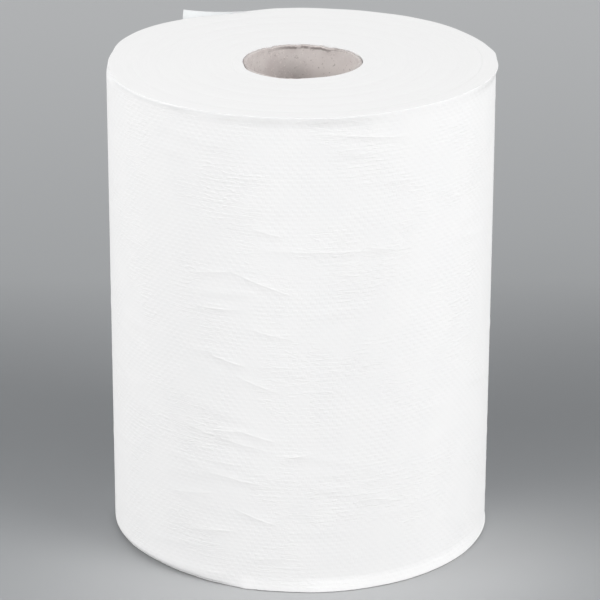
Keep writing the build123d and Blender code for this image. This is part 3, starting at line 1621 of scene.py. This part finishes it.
    def add_end(self, net: FlatNet, wall: Array, end: RollEnd) -> Array:
        """Adds an end face with its turn lines, and the tail's edge beside it.

        Args:
            net: The flat net.
            wall: Numbers of the wall's corners.
            end: The end face to add.

        Returns:
            Numbers of the corners round the hole.
        """
        sizes = self.sizes
        rows = self.edge_rows()
        turn = np.linspace(0, 1, self.columns + 1)
        angle = FULL_TURN * turn
        growth = np.where(turn < 0.5, 1 - np.cos(angle), 3 + np.cos(angle)) / 4
        start = np.array([row.start for row in rows])[:, None]
        finish = np.array([row.end for row in rows])[:, None]
        depth = sizes.roll_radius - sizes.sheet * (1 - turn) - (start + (finish - start) * growth)
        groove = self.line_depth * np.array([row.groove for row in rows])[:, None] * (turn > 0)

        along = turn * sizes.turn_length
        azimuth = sizes.azimuth_degrees(along)
        near_hole = smooth_step(sizes.roll_radius / 3, 0, start - sizes.paper_bore)
        if end is RollEnd.RIM:
            inset, lift = soft_corner(-depth, np.full_like(depth, self.rim_radius))
            swell = self.end_swell * soft_waves(along, sizes.turn_length, count=4, seed=3)
            dished = near_hole * self.dish.at(azimuth % 360)
            uneven = self.rim_lift(along) * smooth_step(self.rim_reach, 0, depth)
            level = sizes.web_width - lift - groove - dished + uneven
            level = level + swell * np.sin(math.pi * depth / self.end_swell_width)
        else:
            inset, lift = soft_corner(-depth, self.foot_softness(azimuth) + 0 * depth)
            level = lift + groove
        border = wall[-1 if end is RollEnd.RIM else 0]
        grid = net.corners(along, level, sizes.hole_offset(azimuth) * near_hole - inset)
        grid = np.vstack([grid, border[: self.columns + 1]])
        first_column = grid[:, 0].copy()
        for number, row in enumerate(rows):
            grid[number, 0] = first_column[row.opens]
            grid[number, -1] = first_column[row.meets]
        flip = end is RollEnd.RIM
        net.skin(grid, PaperFace.EDGE, flip)

        outer_edge = border[self.columns : self.columns + self.tail_columns + 1]
        inner_edge = np.concatenate([border[:1], border[: self.columns + self.tail_columns : -1]])
        net.skin(np.vstack([inner_edge, outer_edge]), PaperFace.EDGE, flip)
        return grid[0]

    def build(self, finishes: Finishes, tree: bpy.types.NodeTree) -> bpy.types.Object:
        """Winds the web into the finished piece.

        Args:
            finishes: The built materials.
            tree: The winding tree.

        Returns:
            The piece, riding on the root body.
        """
        net = FlatNet()
        wall = self.add_wall(net)
        foot = self.add_end(net, wall, RollEnd.FOOT)
        rim = self.add_end(net, wall, RollEnd.RIM)
        net.skin(np.vstack([foot, rim]), PaperFace.EDGE, flip=True)
        values = {
            "Start Radius": self.sizes.roll_radius - self.sizes.sheet,
            "Sheet Step": self.sizes.sheet,
            "Turn Length": self.sizes.turn_length,
            "Start Azimuth": self.sizes.tail_azimuth,
            "Curl Radius": self.sizes.curl_radius,
            "Web Finish": finishes.web,
            "Edge Finish": finishes.edge,
        }
        piece = run_tree("wound_web", net.mesh("wound_web_flat"), tree, values)
        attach(piece, "root")
        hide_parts("wound_paper")
        return piece


@dataclass(frozen=True)
class Notch:
    """A place where the card's cut end is pressed in and torn down."""

    azimuth: float  # degrees
    width_mm: float
    in_mm: float
    down_mm: float


@dataclass
class CoreTube:
    """The card core: a spirally wound tube with torn ends, and the loose fibres on its upper end."""

    sizes: RollSizes
    columns: int = 240
    outer_rows: int = 7
    outer_end: float = 3 * MM
    end_steps_mm: Sequence[float] = (2, 1.2, 0.6, 0.2)
    over_rows: int = 5
    over_span: Span = (0.12, 0.88)  # shares of the wall
    inner_rows: int = 64
    inner_crowding: float = 1.7
    bore_edge: float = 0.2 * MM

    # The torn end, pressed in and standing highest at one side
    torn_reach: float = 2.5 * MM
    torn_mm: float = 0.16
    burr_up_mm: float = 0.12
    burr_out_mm: float = 0.1
    pressed_mm: float = 0.12
    raised_mm: float = 0.3
    slant_mm: float = 0.8
    slant_power: float = 1.5
    high_azimuth: float = 125  # degrees
    oval: float = 0.08 * MM
    oval_shrink: float = 1.6
    fuzz_band: float = 0.5 * MM
    fuzz_rim: float = 0.3 * MM
    fibres_per_area: float = 1.1e6
    notches: Sequence[Notch] = (
        Notch(78, 7, 0.35, 0.25),
        Notch(62, 5, 0.3, 0.2),
        Notch(96, 4, 0.3, 0.25),
        Notch(124, 2.5, 0.4, 0.5),
        Notch(200, 6, 0.4, 0.3),
        Notch(318, 5, 0.5, 0.3),
    )

    def profile(self) -> tuple[Array, Array]:
        """Section of the tube, up its outer wall, over the upper end, down the bore and back.

        Returns:
            Distance off the outer wall and height of each row.
        """
        low, high = self.sizes.card_low, self.sizes.card_high
        wall, edge = self.sizes.card_wall, self.bore_edge
        even = np.linspace(low, high - self.outer_end, self.outer_rows)
        outer = np.concatenate([even, high - np.array(self.end_steps_mm) * MM])
        over = np.linspace(*self.over_span, self.over_rows) * wall
        steps = np.linspace(0, 1, self.inner_rows) ** self.inner_crowding
        down = high - edge - (high - low - 2 * edge) * steps
        rise = np.concatenate([0 * outer, -over, np.full(len(down), -wall), -over[::-1]])
        level = np.concatenate([outer, np.full(len(over), high), down, np.full(len(over), low)])
        return rise, level

    def ragged(self, along: Array, height: Array, rise: Array) -> tuple[Array, Array]:
        """Presses the tube out of round and tears its upper end, which stands highest at the back left.

        Args:
            along: Distance round the tube.
            height: Height of each corner on the even tube.
            rise: Distance of each corner off the even outer wall.

        Returns:
            The height and the distance off the even wall of each corner of the real tube.
        """
        length = FULL_TURN * self.sizes.card_radius
        azimuth = 360 * along / length
        near_end = smooth_step(self.sizes.card_high - self.torn_reach, self.sizes.card_high, height)
        torn = soft_waves(along, length, count=60, seed=31)
        burr = soft_waves(along, length, count=90, seed=37)
        depth = np.clip(-rise / self.sizes.card_wall, 0, 1)
        slant = ((1 + np.cos(np.radians(azimuth - self.high_azimuth))) / 2) ** self.slant_power
        outwards = MM * near_end * (self.burr_out_mm * burr * depth - self.pressed_mm)
        upwards_mm = self.torn_mm * torn + self.burr_up_mm * burr * depth
        upwards = MM * near_end * (upwards_mm + self.raised_mm + self.slant_mm * slant)
        for notch in self.notches:
            half = math.degrees(notch.width_mm * MM / self.sizes.card_radius) / 2
            aside = (azimuth - notch.azimuth + 180) % 360 - 180
            share = np.exp(-((aside / half) ** 4)) * near_end * MM
            outwards = outwards - notch.in_mm * share
            upwards = upwards - notch.down_mm * share
        oval = self.oval * (soft_waves(along, length, count=3, seed=41) - self.oval_shrink)
        return height + upwards, rise + outwards + oval + self.sizes.hole_offset(azimuth)

    def build(self, finishes: Finishes, tree: bpy.types.NodeTree) -> bpy.types.Object:
        """Winds the card into the finished tube.

        Args:
            finishes: The built materials.
            tree: The winding tree.

        Returns:
            The piece, riding on the root body.
        """
        length = FULL_TURN * self.sizes.card_radius
        along = np.arange(self.columns)[None, :] * length / self.columns
        rise, height = (row[:, None] for row in self.profile())
        net = FlatNet()
        grid = net.corners(along, *self.ragged(along, height, rise), (along, height))
        grid = np.hstack([grid, grid[:, :1]])
        net.skin(np.vstack([grid, grid[:1]]), PaperFace.WEB)
        values = {
            "Start Radius": self.sizes.card_radius,
            "Turn Length": length,
            "Web Finish": finishes.card,
            "Edge Finish": finishes.card,
        }
        piece = run_tree("card_core", net.mesh("card_core_flat"), tree, values)
        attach(piece, "root")
        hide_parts("core_tube")
        return piece

    def build_fuzz(self, finishes: Finishes) -> bpy.types.Object:
        """Scatters loose fibres on the tube's upper end.

        Args:
            finishes: The built materials.

        Returns:
            The piece, riding on the root body.
        """
        radius, high = self.sizes.card_radius, self.sizes.card_high
        angle = np.linspace(0, FULL_TURN, self.columns, endpoint=False)
        even_height = np.array([[high], [high - self.fuzz_band]])
        even_rise = np.array([[-self.fuzz_rim], [-self.sizes.card_wall]])
        level, rise = self.ragged(radius * angle[None, :], even_height, even_rise)
        places = [(radius + rise) * np.cos(angle), (radius + rise) * np.sin(angle), level]
        first = np.arange(len(angle))
        second = first + len(angle)
        quads = np.stack([second, np.roll(second, -1), np.roll(first, -1), first], -1)
        band = mesh_from("fuzz_band", np.stack(places, -1).reshape(-1, 3), quads)
        values = {"Fibres per Area": self.fibres_per_area, "Seed": 7, "Finish": finishes.fuzz}
        piece = run_tree("card_fuzz", band, fuzz_tree(), values)
        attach(piece, "root")
        return piece


@dataclass(frozen=True)
class Lamp:
    """A round soft lamp that is aimed at the middle of the roll."""

    name: str
    power: float  # watts
    place: tuple[float, float, float]
    size: float
    aim_height: float = 0.1

    def hang(self) -> None:
        """Makes the lamp."""
        light = bpy.data.lights.new(self.name, "AREA")
        light.energy = self.power
        light.shape = "DISK"
        light.size = self.size
        holder = add_to_scene(self.name, light)
        holder.location = self.place
        aim = Vector((0, 0, self.aim_height)) - Vector(self.place)
        holder.rotation_euler = aim.to_track_quat("-Z", "Y").to_euler()


@dataclass
class Studio:
    """Plain pale floor, soft light from all round and the camera at the photograph's angle."""

    floor_size: float = 12.0
    floor_gap: float = 0.05 * MM  # keeps the floor and the roll's flat foot apart
    camera_place: tuple[float, float, float] = (-0.0001, -1.476, 0.6378)
    camera_pitch: float = 20.08  # degrees down
    camera_roll: float = 0.05  # degrees
    lens: float = 224.53  # millimetres
    sensor: float = 36  # millimetres
    zenith_light: float = 0.36
    horizon_light: float = 1.165
    sky_colour: Colour = (1.0, 1.0, 1.0, 1)
    backdrop_colour: Colour = (0.46, 0.465, 0.475, 1)
    lamps: Sequence[Lamp] = (
        Lamp("key", 28.2, (1.85, -1.45, 1.4), 1.4),
        Lamp("fill", 4.2, (-1.0, -0.45, 0.55), 0.7),
    )

    def lay_floor(self) -> None:
        """Makes the floor."""
        half = self.floor_size / 2
        level = -self.floor_gap
        corners = [(-half, -half, level), (half, -half, level), (half, half, level), (-half, half, level)]
        mesh = bpy.data.meshes.new("studio_floor")
        mesh.from_pydata(corners, [], [(0, 1, 2, 3)])
        mesh.materials.append(FloorPaint().build())
        floor = add_to_scene("studio_floor", mesh)

    def light(self) -> None:
        """Makes the soft sky, brighter round the horizon, and hangs the lamps at the right front and left."""
        world = bpy.data.worlds.new("studio")
        world.use_nodes = True
        bpy.context.scene.world = world
        sketch = NodeSketch(world.node_tree)
        world.node_tree.nodes.clear()
        _, _, up = sketch.split(sketch.add("ShaderNodeTexCoord").outputs["Generated"])
        level = sketch.math("SUBTRACT", 1.0, sketch.math("MULTIPLY", up, up))
        band = sketch.math("MULTIPLY", level, level)
        strength = sketch.math("MULTIPLY_ADD", band, self.horizon_light, self.zenith_light)
        sky = sketch.add("ShaderNodeBackground", {"Color": self.sky_colour, "Strength": strength})
        seen = sketch.add("ShaderNodeBackground", {"Color": self.backdrop_colour, "Strength": 1.0})
        choice = {0: sketch.seen_directly(), 1: sky.outputs[0], 2: seen.outputs[0]}
        both = sketch.add("ShaderNodeMixShader", choice)
        sketch.add("ShaderNodeOutputWorld", {"Surface": both.outputs[0]})
        for lamp in self.lamps:
            lamp.hang()

    def set_camera(self) -> None:
        """Places the camera where the photograph was taken from."""
        data = bpy.data.cameras.new("camera")
        data.sensor_width = self.sensor
        data.lens = self.lens
        camera = add_to_scene("camera", data)
        camera.location = self.camera_place
        pitch = math.radians(90 - self.camera_pitch)
        camera.rotation_euler = Euler((pitch, math.radians(self.camera_roll), 0), "XYZ")
        bpy.context.scene.camera = camera

    def build(self) -> None:
        """Builds the whole studio."""
        self.lay_floor()
        self.light()
        self.set_camera()
        bpy.context.scene.view_settings.view_transform = "Standard"


def main() -> None:
    """Builds the roll and the studio."""
    logging.basicConfig(level=logging.INFO, format="%(name)s: %(message)s")
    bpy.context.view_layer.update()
    sizes = RollSizes.from_frame()
    finishes = Finishes.build(sizes)
    tree = winding_tree()
    paper = WoundPaper(sizes)
    core = CoreTube(sizes)
    for piece in (paper.build(finishes, tree), core.build(finishes, tree), core.build_fuzz(finishes)):
        report.info("%s: %d faces", piece.name, len(piece.data.polygons))
    Studio().build()


if __name__ == "__main__":
    main()
